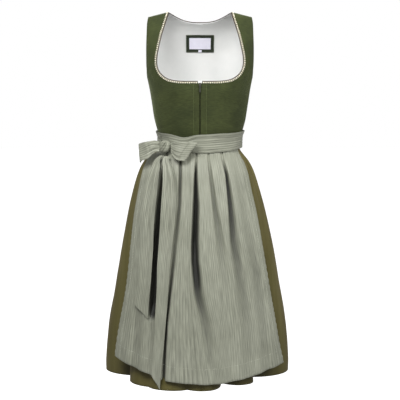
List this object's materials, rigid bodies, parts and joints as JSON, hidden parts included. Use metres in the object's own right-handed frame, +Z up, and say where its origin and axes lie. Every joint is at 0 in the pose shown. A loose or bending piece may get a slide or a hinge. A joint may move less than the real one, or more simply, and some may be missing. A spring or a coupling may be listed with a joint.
{
  "type": "dirndl dress",
  "caption": "Sleeveless knee-length dirndl dress in its worn form: zipped bodice with picot-edged neckline, gathered skirt, pleated apron and a tied bow.",
  "frame": {"origin": "midway between the two straps at shoulder height, where a wearer's shoulders hold the dress", "axes": "+Z up, along the dress's length; the front faces -Y; +X is the wearer's left"},
  "size_m": [0.5323, 0.3953, 1.0285],
  "materials": {
    "bodice_green": "matt woven wool and linen",
    "lining_white": "matt cotton",
    "skirt_olive": "soft sheen taffeta",
    "apron_sage": "soft sheen striped satin",
    "edging_cream": "matt cotton picot braid",
    "piping_brown": "matt cotton",
    "zip_green": "matt polyester tape",
    "zip_metal": "satin lacquered",
    "label_border": "woven satin",
    "label_white": "woven satin"
  },
  "bodies": {
    "garment": {"bodice_front_left": "bodice_green", "bodice_front_right": "bodice_green", "bodice_back": "bodice_green", "lining_front_left": "lining_white", "lining_front_right": "lining_white", "lining_back": "lining_white", "neck_edging_left": "edging_cream", "neck_edging_right": "edging_cream", "neck_piping_left": "piping_brown", "neck_piping_right": "piping_brown", "neck_piping_back": "piping_brown", "zip_tape": "zip_green", "zip_slider": "zip_metal", "label_patch": "label_border", "label_face": "label_white", "size_tab": "label_white", "skirt_front": "skirt_olive", "skirt_back": "skirt_olive", "apron": "apron_sage", "apron_band": "apron_sage", "apron_tie": "apron_sage", "bow_knot": "apron_sage", "bow_loop_left": "apron_sage", "bow_loop_right": "apron_sage", "bow_tail_left": "apron_sage", "bow_tail_right": "apron_sage"},
    "zip_pull_tab": {"zip_pull": "zip_metal"}
  },
  "joints": [
    {"name": "zip_pull_hinge", "type": "hinge", "parent": "garment", "child": "zip_pull_tab", "pos_m": [0, -0.12187, -0.1945], "axis": [-1, 0, 0], "range_deg": [0, 150]}
  ]
}
